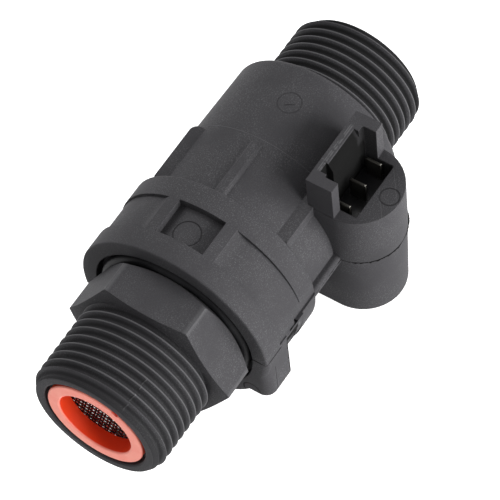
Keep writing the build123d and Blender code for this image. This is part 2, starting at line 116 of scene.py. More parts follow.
def extrude(x=0.0, y=0.0, z=0.0):
    bpy.ops.mesh.extrude_region_move(TRANSFORM_OT_translate={"value": (x, y, z)})


def close_turned_out():
    """Turns all faces of the piece outward and leaves edit mode."""
    bpy.ops.mesh.select_all(action="SELECT")
    bpy.ops.mesh.normals_make_consistent(inside=False)
    close_edit()


def drawn_line(name, places):
    """A new piece, left in edit mode, that is one line drawn through these places."""
    bpy.ops.object.select_all(action="DESELECT")
    bpy.ops.mesh.primitive_plane_add(size=mm, location=(0, 0, 0))
    piece = bpy.context.object
    piece.name = name
    open_edit(piece)
    bpy.ops.mesh.merge(type="CENTER")
    bpy.ops.transform.translate(value=places[0])
    for here, there in zip(places, places[1:]):
        extrude(*(end - start for start, end in zip(here, there)))
    bpy.ops.mesh.select_all(action="SELECT")
    return piece


def apply_modifier(piece, kind, **settings):
    """Adds a modifier, sets it and applies it at once."""
    only(piece)
    modifier = piece.modifiers.new(kind.title(), kind)
    for name, value in settings.items():
        setattr(modifier, name, value)
    bpy.ops.object.modifier_apply(modifier=modifier.name)


def cut(piece, tool, operation):
    """Boolean of two closed meshes. The tool is used up."""
    apply_modifier(piece, "BOOLEAN", operation=operation, solver="EXACT", object=tool)
    bpy.data.objects.remove(tool)


def merged_copy(node, name):
    """A welded copy of a CAD node, which arrives as loose triangles."""
    piece = bpy.data.objects.new(name, frame["nodes"][node].data.copy())
    bpy.context.scene.collection.objects.link(piece)
    only(piece)
    bpy.ops.mesh.customdata_custom_splitnormals_clear()
    open_edit(piece)
    bpy.ops.mesh.remove_doubles(threshold=weld)
    close_edit()
    return piece


weld = 0.001 * mm

# %% [markdown]
# ## Pipe threads
# Both ends carry the same parallel pipe thread with its rounded crests and roots. A picture of grooves
# would slide off at the outline, where a thread shows best, so it is real geometry: one pitch of the
# outline is drawn point by point, the Screw modifier winds it round the flow axis, and a boolean keeps
# only what lies both in the plain CAD end and inside the threaded rod. The chamfers and the bore then
# come from the CAD by themselves.

# %% Outline of one pitch
pitch = 1.814 * mm
crest_rounding = 0.08 * pitch
root_rounding = 0.2 * pitch
flank_angle = math.radians(27.5)
sharp_depth = pitch / 2 / math.tan(flank_angle)
thread_depth = sharp_depth - (crest_rounding + root_rounding) * (1 / math.sin(flank_angle) - 1)
crest_radius = mounts["inlet_thread"]["dims"]["r_mm"] * mm - 0.02 * mm
arc_steps = 3


def thread_outline(crest_x):
    """Points (x, radius) from one root to the next, over the crest at this x."""
    sweep = math.pi / 2 - flank_angle
    angles = [sweep * step / arc_steps for step in range(arc_steps + 1)]
    root_x = crest_x - pitch / 2
    root_radius = crest_radius - thread_depth
    rise = [
        (root_x + root_rounding * math.sin(a), root_radius + root_rounding * (1 - math.cos(a)))
        for a in angles
    ]
    rise += [
        (crest_x - crest_rounding * math.sin(a), crest_radius - crest_rounding * (1 - math.cos(a)))
        for a in reversed(angles)
    ]
    return rise + [(2 * crest_x - x, radius) for x, radius in reversed(rise[:-1])]


print("points in one pitch:", len(thread_outline(0)))


# %% Winding the thread and growing the block behind it
def threaded_rod(name, crest_x, free_end_x, root_end_x, block_scale):
    """A threaded rod whose inner end widens into a block that holds the rest of the piece."""
    outward = 1 if free_end_x > root_end_x else -1
    turns = math.ceil(abs(free_end_x - root_end_x) / pitch) + spare_turns
    first_x = min(free_end_x, root_end_x) - start_turns * pitch
    first_crest_x = crest_x - pitch * round((crest_x - first_x) / pitch)
    outline = thread_outline(first_crest_x)

    rod = drawn_line(name, [(x, 0, radius) for x, radius in outline])
    close_edit()
    apply_modifier(
        rod, "SCREW", axis="X", screw_offset=pitch, iterations=turns + 1,
        steps=thread_steps, render_steps=thread_steps, use_merge_vertices=True, merge_threshold=weld,
    )

    open_edit(rod)
    bpy.ops.mesh.remove_doubles(threshold=weld)
    bpy.ops.mesh.select_all(action="SELECT")
    bpy.ops.mesh.bisect(
        plane_co=(free_end_x, 0, 0), plane_no=(outward, 0, 0), use_fill=True, clear_outer=True,
        threshold=plane_tolerance,
    )
    bpy.ops.mesh.select_all(action="SELECT")
    bpy.ops.mesh.bisect(
        plane_co=(root_end_x, 0, 0), plane_no=(outward, 0, 0), use_fill=True, clear_inner=True,
        threshold=plane_tolerance,
    )
    close_edit()
    open_edit(rod, lambda place: abs(place.x - root_end_x) < weld)
    extrude()
    bpy.ops.transform.resize(value=(1, block_scale, block_scale), center_override=(root_end_x, 0, 0))
    extrude(x=-outward * block_length)
    close_turned_out()
    return rod


thread_steps = 96
start_turns, spare_turns = 2, 3
block_length = 100 * mm
end_margin = 1 * mm
shoulder_skim = 0.01 * mm
plane_tolerance = 0.0001 * mm

# %% [markdown]
# ## Crisp edge of the collar
# Above the mould's parting plane the collar's front corner is sharp, where the CAD body has a rounding.
# Bevel or crease can only soften an edge, so the missing corner is added: its small outline is drawn in
# millimetres, spun a little more than half round the flow axis and joined to the body. Blender's spin
# turns against the right-hand rule, so this positive angle leads upward from the -Y side.

# %% Front corner of the collar
def collar_edge():
    """The upper part of the collar's front corner, spun about the flow axis from the -Y side."""
    edge = drawn_line("collar_edge", [Vector((x, -radius, 0)) * mm for x, radius in collar_corner])
    bpy.ops.mesh.spin(steps=collar_steps, angle=collar_sweep, center=(0, 0, 0), axis=(1, 0, 0))
    bpy.ops.mesh.select_all(action="SELECT")
    bpy.ops.mesh.remove_doubles(threshold=weld)
    bpy.ops.mesh.fill_holes(sides=len(collar_corner))
    close_turned_out()
    return edge


collar_steps = 76
collar_sweep = math.radians(190)
collar_corner = [
    (24.59, 17.7), (24.59, 18.7), (24.63, 18.86), (24.71, 18.97), (24.83, 19.03), (24.95, 19.04),
    (26.2, 19.04), (26.2, 17.7), (24.59, 17.7),
]

# %% [markdown]
# ## Round back of the side rib
# The rib on the boss's side has a round back, which catches the light along its whole length. A prism
# with a hollow quarter circle is drawn past the rib's upper corner and cut away, so only that corner
# changes. Its sizes are in millimetres.

# %% Shaving for the rib
rib_reach, rib_half, rib_round, rib_spare = 18.45, 0.8, 0.75, 0.2
rib_front_x, rib_rear_x, rib_steps = 41.02, 49.3, 8


def rib_shaving():
    """What has to come off the side rib's upper corner to make its back round."""
    turns = [math.pi / 2 * step / rib_steps for step in range(rib_steps + 1)]
    arc = [
        (-rib_reach + rib_round * (1 - math.sin(turn)), rib_half + rib_round * (math.cos(turn) - 1))
        for turn in turns
    ]
    outside, top = rib_reach + rib_spare, rib_half + rib_spare
    loop = arc + [(-outside, arc[-1][1]), (-outside, top), (arc[0][0], top), arc[0]]
    shaving = drawn_line("rib_shaving", [Vector((rib_front_x, y, z)) * mm for y, z in loop])
    bpy.ops.mesh.remove_doubles(threshold=weld)
    bpy.ops.mesh.select_all(action="SELECT")
    bpy.ops.mesh.edge_face_add()
    extrude(x=(rib_rear_x - rib_front_x) * mm)
    close_turned_out()
    return shaving


# %% [markdown]
# ## The two threaded mouldings
# The main body and the inlet adapter are welded copies of their CAD nodes, cut back to the thread. The
# crest of the first turn is placed so that the thread starts where it does on the real part.

# %% Main body with the outlet thread
outlet_end_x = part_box("main_body")[1].x
outlet_thread_length = 14.4 * mm
outlet_root_x = outlet_end_x - outlet_thread_length
outlet_crest_x = 73.53 * mm
outlet_block_scale = 3.0
threaded_body = merged_copy("main_body", "threaded_body")
cut(
    threaded_body,
    threaded_rod(
        "outlet_rod", outlet_crest_x, outlet_end_x + end_margin, outlet_root_x - shoulder_skim,
        outlet_block_scale,
    ),
    "INTERSECT",
)
cut(threaded_body, collar_edge(), "UNION")
cut(threaded_body, rib_shaving(), "DIFFERENCE")
print("threaded body:", len(threaded_body.data.polygons), "faces")

# %% Inlet adapter with the inlet thread
inlet_end_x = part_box("inlet_adapter")[0].x
inlet_thread_length = 16.1 * mm
inlet_root_x = inlet_end_x + inlet_thread_length
inlet_crest_x = 3.64 * mm
inlet_block_scale = 2.0
threaded_adapter = merged_copy("inlet_adapter", "threaded_adapter")
cut(
    threaded_adapter,
    threaded_rod(
        "inlet_rod", inlet_crest_x, inlet_end_x - end_margin, inlet_root_x + shoulder_skim,
        inlet_block_scale,
    ),
    "INTERSECT",
)
print("threaded adapter:", len(threaded_adapter.data.polygons), "faces")

# %% [markdown]
# ## Woven strainer
# The strainer is plain-woven steel wire. One wave of a wire is a hexagon drawn along a cosine, an Array
# modifier repeats it to the length that its row needs in the round holder, and every second row starts
# half a wave later, so that the wires pass over and under each other.

# %% One wave of wire
wire_pitch = 0.65 * mm
wire_radius = 0.09 * mm
wave_height = 0.09 * mm
wave_steps = 8
wire_sides = 6
strainer_low, strainer_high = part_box("strainer_mesh")
strainer_x = (strainer_low.x + strainer_high.x) / 2
strainer_radius = strainer_high.y


def wire(row, waves, start_sign):
    """One wire along Y, centred, at the height of its row, as many waves long as it needs."""
    length = 2 * wire_pitch * waves
    bpy.ops.object.select_all(action="DESELECT")
    bpy.ops.mesh.primitive_circle_add(
        vertices=wire_sides, radius=wire_radius, rotation=(math.pi / 2, 0, 0),
        location=(strainer_x + start_sign * wave_height, -length / 2, row * wire_pitch),
    )
    piece = bpy.context.object
    bpy.ops.object.transform_apply(location=True, rotation=True, scale=True)
    open_edit(piece)
    for step in range(wave_steps):
        here = math.cos(2 * math.pi * step / wave_steps)
        there = math.cos(2 * math.pi * (step + 1) / wave_steps)
        extrude(x=start_sign * wave_height * (there - here), y=2 * wire_pitch / wave_steps)
    close_edit()
    apply_modifier(
        piece, "ARRAY", count=waves, use_relative_offset=False, use_constant_offset=True,
        constant_offset_displace=(0, 2 * wire_pitch, 0), use_merge_vertices=True, merge_threshold=weld,
    )
    return piece


def wire_layer():
    """All wires of one direction, each cut to the holder's round bore."""
    pieces = []
    rows = int(strainer_radius / wire_pitch)
    for row in range(-rows, rows + 1):
        half_chord = math.sqrt(strainer_radius**2 - (row * wire_pitch) ** 2)
        waves = int(half_chord / wire_pitch)
        if waves:
            start_sign = 1 if (row + waves) % 2 == 0 else -1
            pieces.append(wire(row, waves, start_sign))
    return pieces


def joined(pieces, name):
    bpy.ops.object.select_all(action="DESELECT")
    for piece in pieces:
        piece.select_set(True)
    bpy.context.view_layer.objects.active = pieces[0]
    if len(pieces) > 1:
        bpy.ops.object.join()
    pieces[0].name = name
    bpy.ops.object.transform_apply(location=True, rotation=True, scale=True)
    return pieces[0]


# %% Two layers, woven and turned as in the holder
strainer_turn = math.radians(16)
warp = joined(wire_layer(), "warp")
weft = joined(wire_layer(), "weft")
open_edit(weft)
bpy.ops.transform.rotate(value=math.pi / 2, orient_axis="X", center_override=(0, 0, 0))
bpy.ops.transform.mirror(constraint_axis=(True, False, False), center_override=(strainer_x, 0, 0))
close_turned_out()
woven_strainer = joined([warp, weft], "woven_strainer")
open_edit(woven_strainer)
bpy.ops.mesh.fill_holes(sides=wire_sides)
bpy.ops.mesh.select_all(action="SELECT")
bpy.ops.transform.rotate(value=-strainer_turn, orient_axis="X", center_override=(0, 0, 0))
close_turned_out()
print("woven strainer:", len(woven_strainer.data.polygons), "faces")

# %% [markdown]
# ## Flash on the side boss
# Where the mould's halves meet across the side boss, a little nylon has squeezed out into a ragged lip.
# It breaks the boss's outline, so it is a real piece: a small diamond spun round the boss, whose outer
# corners are then scattered a little. On the side where it is worst the lip is pulled further out.

# %% Places round the boss
boss_axis = Vector((57.6, -17.45, 0)) * mm
boss_radius = 8.3 * mm
lip_size = 0.16 * mm
lip_inset = 0.04 * mm
lip_radius = boss_radius - lip_size - lip_inset
lip_start, lip_end = math.radians(-72), math.radians(86)
lip_steps = 110


def boss_turn(place):
    """How far round the boss a point is, from the outermost side toward the outlet."""
    return math.atan2(place.x - boss_axis.x, boss_axis.y - place.y)


def boss_distance(place):
    return math.hypot(place.x - boss_axis.x, place.y - boss_axis.y)


# %% Diamond spun round the boss, where spin turns against the right-hand rule
lip_outward = Vector((math.sin(lip_start), -math.cos(lip_start), 0))
bpy.ops.object.select_all(action="DESELECT")
bpy.ops.mesh.primitive_circle_add(
    vertices=4, radius=lip_size, rotation=(math.pi / 2, 0, lip_start - math.pi / 2),
    location=boss_axis + lip_radius * lip_outward - Vector((0, 0, lip_size)),
)
parting_flash = bpy.context.object
parting_flash.name = "parting_flash"
bpy.ops.object.transform_apply(location=True, rotation=True, scale=True)
open_edit(parting_flash)
bpy.ops.mesh.spin(steps=lip_steps, angle=lip_start - lip_end, center=boss_axis, axis=(0, 0, 1))
bpy.ops.mesh.select_all(action="SELECT")
bpy.ops.mesh.remove_doubles(threshold=weld)
bpy.ops.mesh.fill_holes(sides=4)
close_edit()

# %% Ragged edge, pulled further out on one side
lip_growths = ((14, 82, 1.022), (28, 66, 1.014))
calm_turn = math.radians(12)
lip_scatter = 0.07 * mm
for low_degrees, high_degrees, growth in lip_growths:
    low, high = math.radians(low_degrees), math.radians(high_degrees)
    open_edit(
        parting_flash,
        lambda place: boss_distance(place) > lip_radius and low < boss_turn(place) < high,
    )
    bpy.ops.transform.resize(value=(growth, growth, 1), center_override=boss_axis)
    close_edit()
open_edit(
    parting_flash,
    lambda place: boss_distance(place) > lip_radius + lip_size / 2 and abs(boss_turn(place)) > calm_turn,
)
bpy.ops.transform.vertex_random(offset=lip_scatter, uniform=1, seed=5)
close_turned_out()
lip_reach = max(boss_distance(vertex.co) for vertex in parting_flash.data.vertices)
print("flash:", len(parting_flash.data.polygons), "faces, out to radius", round(lip_reach / mm, 2))

# %% [markdown]
# ## Node maths for the finishes
# A finish is a sum of noises, masks and distances. Written with Math nodes by hand it would fill pages,
# so a small class wraps a node's socket and lets Python's own signs add the nodes.


# %% A number in a material
class Number:
    """A number that runs through a material's nodes and can be used in a sum."""

    def __init__(self, finish, socket):
        self.finish = finish
        self.socket = socket

    def maths(self, operation, *values):
        return self.finish.add("ShaderNodeMath", {"operation": operation}, dict(enumerate(values)))[0]

    def __add__(self, other):
        return self.maths("ADD", self, other)

    def __sub__(self, other):
        return self.maths("SUBTRACT", self, other)

    def __rsub__(self, other):
        return self.maths("SUBTRACT", other, self)

    def __mul__(self, other):
        return self.maths("MULTIPLY", self, other)

    def __pow__(self, other):
        return self.maths("POWER", self, other)

    def __gt__(self, other):
        return self.maths("GREATER_THAN", self, other)

    def __lt__(self, other):
        return self.maths("LESS_THAN", self, other)

    def above(self, low, high):
        """A soft step: 0 under the low value, 1 over the high one."""
        settings = {"interpolation_type": "SMOOTHSTEP"}
        return self.finish.add("ShaderNodeMapRange", settings, {"Value": self, 1: low, 2: high})["Result"]

    def line(self, place, width):
        """1 where the number is at this place, and 0 from this far away."""
        return 1 - self.maths("ABSOLUTE", self - place).above(width * 0.3, width)

    def between(self, low, high, blur):
        """1 from the low to the high value, with soft ends."""
        return self.above(low - blur, low + blur) * (1 - self.above(high - blur, high + blur))

    __radd__ = __add__
    __rmul__ = __mul__


class Finish:
    """A material with its main shader, and one method that adds any other node."""

    def __init__(self, name, **constants):
        self.material = bpy.data.materials.new(name)
        self.material.use_nodes = True
        self.tree = self.material.node_tree
        self.shader = self.tree.nodes["Principled BSDF"]
        for socket, value in constants.items():
            self.shader.inputs[socket.replace("_", " ")].default_value = value
        self.place = self.add("ShaderNodeTexCoord", {}, {})["Object"]

    def add(self, kind, settings, inputs):
        """Adds a node, sets it and feeds it, and returns its outputs by name or number."""
        node = self.tree.nodes.new(kind)
        for name, value in settings.items():
            setattr(node, name, value)
        for name, value in inputs.items():
            if isinstance(value, Number):
                self.tree.links.new(value.socket, node.inputs[name])
            else:
                node.inputs[name].default_value = value
        outputs = {socket.name: Number(self, socket) for socket in node.outputs}
        outputs.update({i: Number(self, socket) for i, socket in enumerate(node.outputs)})
        return outputs

    def noise(self, size, detail=2.0, roughness=0.5):
        """Cloudy noise with features of this size, in metres."""
        inputs = {"Vector": self.place, "Scale": 1 / size, "Detail": detail, "Roughness": roughness}
        return self.add("ShaderNodeTexNoise", {}, inputs)["Fac"]

    def along(self):
        """The place as three numbers: along the flow, across it and up."""
        parts = self.add("ShaderNodeSeparateXYZ", {}, {"Vector": self.place})
        return parts["X"], parts["Y"], parts["Z"]

    def distance(self, across, up, centre):
        """How far a point is from a centre, both given by two coordinates."""
        return ((across - centre[0]) ** 2 + (up - centre[1]) ** 2) ** 0.5

    def mix(self, share, first, second):
        """A colour between two others."""
        settings = {"data_type": "RGBA"}
        colours = [c if isinstance(c, Number) else (*c, 1) for c in (first, second)]
        return self.add("ShaderNodeMix", settings, {0: share, 6: colours[0], 7: colours[1]})[2]

    def feed(self, socket, value):
        self.tree.links.new(value.socket, self.shader.inputs[socket])

    def bump(self, height, distance, **inputs):
        """Turns a height into a surface relief, where a height of 1 is this many metres."""
        inputs = {"Height": height, "Distance": distance, **inputs}
        self.feed("Normal", self.add("ShaderNodeBump", {}, inputs)["Normal"])


# %% [markdown]
# ## Marks of the mould, with painted shade and highlights
# A mould leaves traces: shallow discs where the ejector pins pushed, lines where its halves met, and a
# ragged edge of flash where they met badly. They are at most 0.13 mm deep, too shallow for mesh, so they
# are worked out from the place on the part. Each kind of mark gives three numbers: its relief in
# millimetres for a Bump node, and a dark and a light mask for the colour. Most of the dark mask is
# painted shade and most of the light mask painted highlights: they stand for the shadows and glints along
# small edges, and for shade in the socket, the thread grooves and the gap behind the foot. Places and
# sizes are in the same frame as the CAD. A span has two ends and a blur, a line a place and a width, and
# a rise the two values between which a mask goes from 0 to 1.

# %% Places of the ejector pins
# The rim number of each pin sets the painted shade along its disc's edge, where the sunk disc would cast a
# thin shadow. The gate dot's rim is made paler instead.
pocket_pin = {"centre": (31.9 * mm, 0.35 * mm), "radius": 2.45 * mm, "depth": 0.13, "rim": 0.5}
body_pin = {"centre": (63.5 * mm, -0.1 * mm), "radius": 2.15 * mm, "depth": 0.05, "rim": 0.3}
boss_pin = {"centre": (58.0 * mm, -23.65 * mm), "radius": 1.75 * mm, "depth": 0.1, "rim": 1.6}
foot_pin = {"centre": (-15.2 * mm, -10.9 * mm), "radius": 1.7 * mm, "depth": 0.12, "rim": 0.6}
gate_dot = {"centre": (66.3 * mm, 2.5 * mm), "radius": 0.3 * mm, "depth": 0.08, "rim": 0.1}
pin_blur, rim_width = 0.08 * mm, 0.22 * mm
top_side = (12 * mm, 13 * mm)
boss_top_y = -21.05 * mm
body_top_span = (60 * mm, 70 * mm, 0.5 * mm)
pocket_span = (29 * mm, 36.5 * mm, 0.01 * mm)
front_plane = (24.6 * mm, 0.1 * mm)


# %% Discs of the ejector pins
def top_masks(finish):
    """Masks of all that lies high, and of the boss's top and the body's back in it."""
    along, across, up = finish.along()
    high = up.above(*top_side)
    return high, high * (across < boss_top_y), high * along.between(*body_top_span)


def pin_disc(finish, first, second, pin, where):
    """The mask of a sunk disc and that of the line round it."""
    away = finish.distance(first, second, pin["centre"])
    disc = 1 - away.above(pin["radius"] - pin_blur, pin["radius"] + pin_blur)
    return disc * where, away.line(pin["radius"], rim_width) * where


def pin_discs(finish):
    along, across, up = finish.along()
    high, boss_top, body_top = top_masks(finish)
    relief, dark = 0, 0
    for pin, first, second, where in (
        (pocket_pin, along, across, high * along.between(*pocket_span)),
        (body_pin, along, across, body_top),
        (boss_pin, along, across, boss_top),
        (foot_pin, across, up, along.line(*front_plane)),
    ):
        disc, rim = pin_disc(finish, first, second, pin, where)
        relief = relief - pin["depth"] * disc
        dark = dark + pin["rim"] * rim
    dot, dot_rim = pin_disc(finish, along, across, gate_dot, body_top)
    return relief - gate_dot["depth"] * dot, dark, gate_dot["rim"] * dot_rim


# %% Fine lines on the boss's top and on the body
slot_centre = (58.5 * mm, -23.0 * mm)
slot_slant = (0.585, 0.81)
slot_half, slot_width = 1.4 * mm, 0.12 * mm
bar_slant = (0.84, 0.545)
bar_line = (52.84 * mm, 0.14 * mm)
bar_span = (-1.15 * mm, 0.4 * mm, 0.1 * mm)


def top_lines(finish):
    """A pair of lines beside the boss's pin, and the short bar inside the body's pin."""
    along, across = finish.along()[:2]
    boss_top, body_top = top_masks(finish)[1:]
    boss_disc = pin_disc(finish, along, across, boss_pin, boss_top)[0]
    slot_across = (along - slot_centre[0]) * slot_slant[0] - (across - slot_centre[1]) * slot_slant[1]
    slot = slot_across.line(slot_half, slot_width) + slot_across.line(-slot_half, slot_width)
    slot = slot * boss_top * (1 - boss_disc)
    bar = (along * bar_slant[0] + across * bar_slant[1]).line(*bar_line)
    bar = bar * body_top * across.between(*bar_span)
    # The bar is darkened with painted shade in its groove, and the slot lines are made pale with painted
    # highlights along their edges.
    return -0.05 * slot - 0.06 * bar, 0.5 * bar, 0.5 * slot


# %% [markdown]
# ### Where the mould's halves met
# The parting plane lies at the height of the flow axis. On the boss the line is a band of painted
# shadow under the flash lip. It reaches down unevenly and is torn wider toward the outlet, so its lower
# edge follows a noise. On the collar's front it is only a thin line.

# %% Noise that bends and breaks lines
wobble_size, wobble_detail = 0.9 * mm, 3.0
broken_line = (0.4, 0.5)


def wobble(finish):
    """A soft noise: it makes a line wander, or leaves only parts of it."""
    return finish.noise(wobble_size, wobble_detail)


# %% Parting lines
ring_edge = (7.6 * mm, 7.8 * mm)
boss_side_y, front_side_y = -16.9 * mm, -16.1 * mm
front_parting_span = (24 * mm, 29.2 * mm, 0.2 * mm)
front_parting_line = (0, 0.26 * mm)
ragged_depth, ragged_edge = 1.2 * mm, (-0.75 * mm, -0.6 * mm)
ragged_middle_x, ragged_slope = 56 * mm, 0.05
upper_edge = (-0.03 * mm, 0.03 * mm)
torn_line = (-0.3 * mm, 0.9 * mm)
torn_start = (60.8 * mm, 61.6 * mm)


def parting_lines(finish):
    along, across, up = finish.along()
    on_boss = finish.distance(along, across, boss_axis).above(*ring_edge) * (across < boss_side_y)
    ragged = up + (wobble(finish) - 0.5) * ragged_depth + (along - ragged_middle_x) * ragged_slope
    # The band on the boss and its wider part toward the outlet are painted shadow under the flash lip.
    parting_shade_band = on_boss * ragged.above(*ragged_edge) * (1 - up.above(*upper_edge))
    torn_shadow = up.line(*torn_line) * on_boss * along.above(*torn_start)
    torn_shadow = torn_shadow * finish.noise(1.6 * mm, 3.0).above(0.36, 0.42)
    front = up.line(*front_parting_line) * (across < front_side_y) * along.between(*front_parting_span)
    return -0.12 * parting_shade_band - 0.1 * front, parting_shade_band + torn_shadow + 0.9 * front, 0


# %% [markdown]
# ### The foot
# The foot was probably made by a slide of its own. Its side wall shows a fine line and a row of dashes,
# and behind it is a narrow gap darkened with painted shade, with a painted highlight on the edge at its
# end.

# %% Lines, dashes and the gap at the foot
foot_side_y, gap_side_y = -18.9 * mm, -17.5 * mm
foot_side_span = (24 * mm, 32 * mm, 0.1 * mm)
foot_line, foot_line_span = (27.0 * mm, 0.14 * mm), (-12.6 * mm, -3.3 * mm, 0.3 * mm)
foot_dash, foot_dash_span = (31.0 * mm, 0.16 * mm), (-12 * mm, -4.2 * mm, 0.2 * mm)
gap_span, gap_height = (31.0 * mm, 34.6 * mm, 0.2 * mm), (-3.5 * mm, 0.2 * mm, 0.15 * mm)
edge_highlight_line, edge_highlight_height = (34.9 * mm, 0.5 * mm), (-1.8 * mm, 0.1 * mm, 0.2 * mm)


def foot_marks(finish):
    along, across, up = finish.along()
    foot_side = (across < foot_side_y) * along.between(*foot_side_span)
    lines = along.line(*foot_line) * foot_side * up.between(*foot_line_span)
    dashes = along.line(*foot_dash) * foot_side * up.between(*foot_dash_span)
    dashes = dashes * finish.noise(0.5 * mm, 1.0).above(0.42, 0.5)
    # The gap is painted shade, and the line at its end is a painted highlight.
    gap_shade = along.between(*gap_span) * up.between(*gap_height) * (across < gap_side_y)
    edge_highlight = along.line(*edge_highlight_line) * up.between(*edge_highlight_height) * (across < gap_side_y)
    return -0.05 * lines - 0.05 * dashes, 0.95 * gap_shade + 0.8 * dashes + 0.4 * lines, 0.5 * edge_highlight


# %% [markdown]
# ### Step, seam and edges
# A faint step runs round the back of the body, and a seam crosses the first turns of the inlet thread.
# Both are made pale along their edges as painted highlights. Crests and the hexagon's corners carry
# painted highlights too, and the grooves are darkened with painted shade, most of all at the outlet.

# %% Step of the body, threads and hexagon
step_line, step_rise, step_side_y = (54.5 * mm, 0.14 * mm), (4 * mm, 6 * mm), -13 * mm
seam_angle = math.radians(33)
seam_line, seam_span, seam_height = (0, 0.16 * mm), (0.5 * mm, 7.5 * mm, 0.3 * mm), 6 * mm
between_threads = (16 * mm, 71.85 * mm, 0.05 * mm)
outlet_start = (71 * mm, 72 * mm)
groove_floor, groove_rise = (11.9 * mm, 12 * mm), (12.4 * mm, 13 * mm)
crest_rise, crest_span = (13.0 * mm, 13.18 * mm), (2.4 * mm, 84 * mm, 0.2 * mm)
corner_rise, corner_span = (16.0 * mm, 16.35 * mm), (16.4 * mm, 23.6 * mm, 0.3 * mm)


def step_and_seam(finish):
    along, across, up = finish.along()
    step = along.line(*step_line) * up.above(*step_rise) * (across > step_side_y)
    slant = across * math.cos(seam_angle) + up * math.sin(seam_angle)
    seam = slant.line(*seam_line) * along.between(*seam_span) * (up > seam_height)
    seam = seam * wobble(finish).above(*broken_line)
    # The step and the seam are made pale along their edges as painted highlights.
    return 0.03 * step + 0.08 * seam, 0, 0.35 * step + 0.5 * seam


def thread_highlights_and_shade(finish):
    along, across, up = finish.along()
    radius = finish.distance(across, up, (0, 0))
    thread = 1 - along.between(*between_threads)
    groove = thread * (1 - radius.above(*groove_rise)) * radius.above(*groove_floor)
    crest = thread * radius.above(*crest_rise) * along.between(*crest_span)
    corner = radius.above(*corner_rise) * along.between(*corner_span)
    # Painted shade goes in the grooves, and painted highlights on the crests and the hexagon's corners.
    return 0, (0.5 + 0.3 * along.above(*outlet_start)) * groove, 0.4 * crest + 0.3 * corner


# %% [markdown]
# ### Plug socket
# The inside of the shroud is darker than the lamps alone would leave it, so its walls are darkened with
# painted shade, the long wall most, except for one lit patch near its upper end. Two pale lines of painted
# highlight run along the top of the shroud.

# %% Painted shade in the socket and painted highlights on its edge
socket_along = (51.4 * mm, 63.8 * mm, 0.05 * mm)
socket_across = (-21.0 * mm, -13.4 * mm, 0.05 * mm)
socket_height = (6.0 * mm, 20.3 * mm, 0.1 * mm)
patch_along, patch_height = (61.2 * mm, 62.4 * mm), (15 * mm, 17.5 * mm)
long_wall = (-15.3 * mm, -15.1 * mm)
shroud_height, shroud_along = (20.4 * mm, 20.45 * mm), (52.2 * mm, 62.8 * mm, 0.4 * mm)
outer_shroud_highlight, inner_shroud_highlight = (-13.2 * mm, 0.14 * mm), (-13.55 * mm, 0.2 * mm)


def socket_shade_and_highlights(finish):
    along, across, up = finish.along()
    # The socket mask is painted shade, and the two lines on top are painted highlights.
    socket = along.between(*socket_along) * across.between(*socket_across) * up.between(*socket_height)
    lit_patch = along.above(*patch_along) * up.above(*patch_height)
    shaded_wall = across.above(*long_wall) * (1 - 0.8 * lit_patch)
    shroud_highlights = across.line(*outer_shroud_highlight) + across.line(*inner_shroud_highlight)
    shroud_highlights = shroud_highlights * up.above(*shroud_height) * along.between(*shroud_along)
    shroud_highlights = shroud_highlights * wobble(finish).above(*broken_line)
    return 0, (0.6 + 0.5 * shaded_wall) * socket, 0.5 * shroud_highlights


# %% All marks together
def marks_with_painted_light(finish):
    """The relief of all marks in millimetres, and the masks of their painted shade and painted highlights.
    """
    kinds = [
        pin_discs, top_lines, parting_lines, foot_marks, step_and_seam, thread_highlights_and_shade, socket_shade_and_highlights,
    ]
    relief, dark, light = (sum(parts) for parts in zip(*(kind(finish) for kind in kinds)))
    return relief, dark, light


# %% [markdown]
# ## Black nylon
# The mouldings are nylon with short glass fibre. It is a dark warm grey, never a true black. The fibres
# lie just under the skin and show as pale flecks, most of all where light grazes the surface, and the
# skin itself is slightly cloudy. Colour, roughness and a very shallow relief all follow these flecks. A
# Bevel node rounds the look of every edge by two tenths of a millimetre, as a mould does. Dark marks are
# rough as well, or they would shine at a glancing angle.


# %% Glass-filled nylon
edge_radius = 0.2 * mm
skin_dark, skin_light = (0.037, 0.036, 0.039), (0.043, 0.042, 0.045)
grain_colour, fleck_colour = (0.052, 0.051, 0.054), (0.12, 0.12, 0.125)
# The marks' painted highlights take the pale grey, and their painted shade the near black.
highlight_colour, shade_colour = (0.13, 0.13, 0.135), (0.006, 0.006, 0.006)
grain_relief, fleck_relief = 0.014, 0.004


def glass_filled_nylon():
    finish = Finish("glass_filled_nylon", Specular_IOR_Level=0.06)
    relief, dark, light = marks_with_painted_light(finish)
    cloud = finish.noise(9 * mm, 3.0)
    grain = finish.noise(0.2 * mm, 2.0, 0.6)
    fleck = finish.noise(0.18 * mm, 1.0).above(0.54, 0.68) * cloud.above(0.3, 0.6)
    skin = finish.mix(cloud.above(0.3, 0.7), skin_dark, skin_light)
    skin = finish.mix(grain.above(0.35, 0.7) * 0.4, skin, grain_colour)
    skin = finish.mix(fleck * 0.4, skin, fleck_colour)
    # Painted highlights of the marks go into the colour here, then their painted shade.
    skin = finish.mix(light, skin, highlight_colour)
    dark = dark.maths("MINIMUM", dark, 1.0)
    finish.feed("Base Color", finish.mix(dark, skin, shade_colour))
    finish.feed("Roughness", 0.6 + cloud * 0.1 - fleck * 0.1 + dark * 0.4)
    rounded = finish.add("ShaderNodeBevel", {"samples": 4}, {"Radius": edge_radius})["Normal"]
    finish.bump(relief + grain_relief * grain + fleck_relief * fleck, mm, Normal=rounded)
    return finish.material


nylon = glass_filled_nylon()
print("nylon nodes:", len(nylon.node_tree.nodes))

# %% [markdown]
# ## Red holder
# The strainer's holder is red. Its flat flange, turned toward the light, is painted pale pink as painted
# light and is rougher, while the bore keeps its moulded gloss and a deep red, so the colour changes over
# the first tenths of a millimetre along the flow.


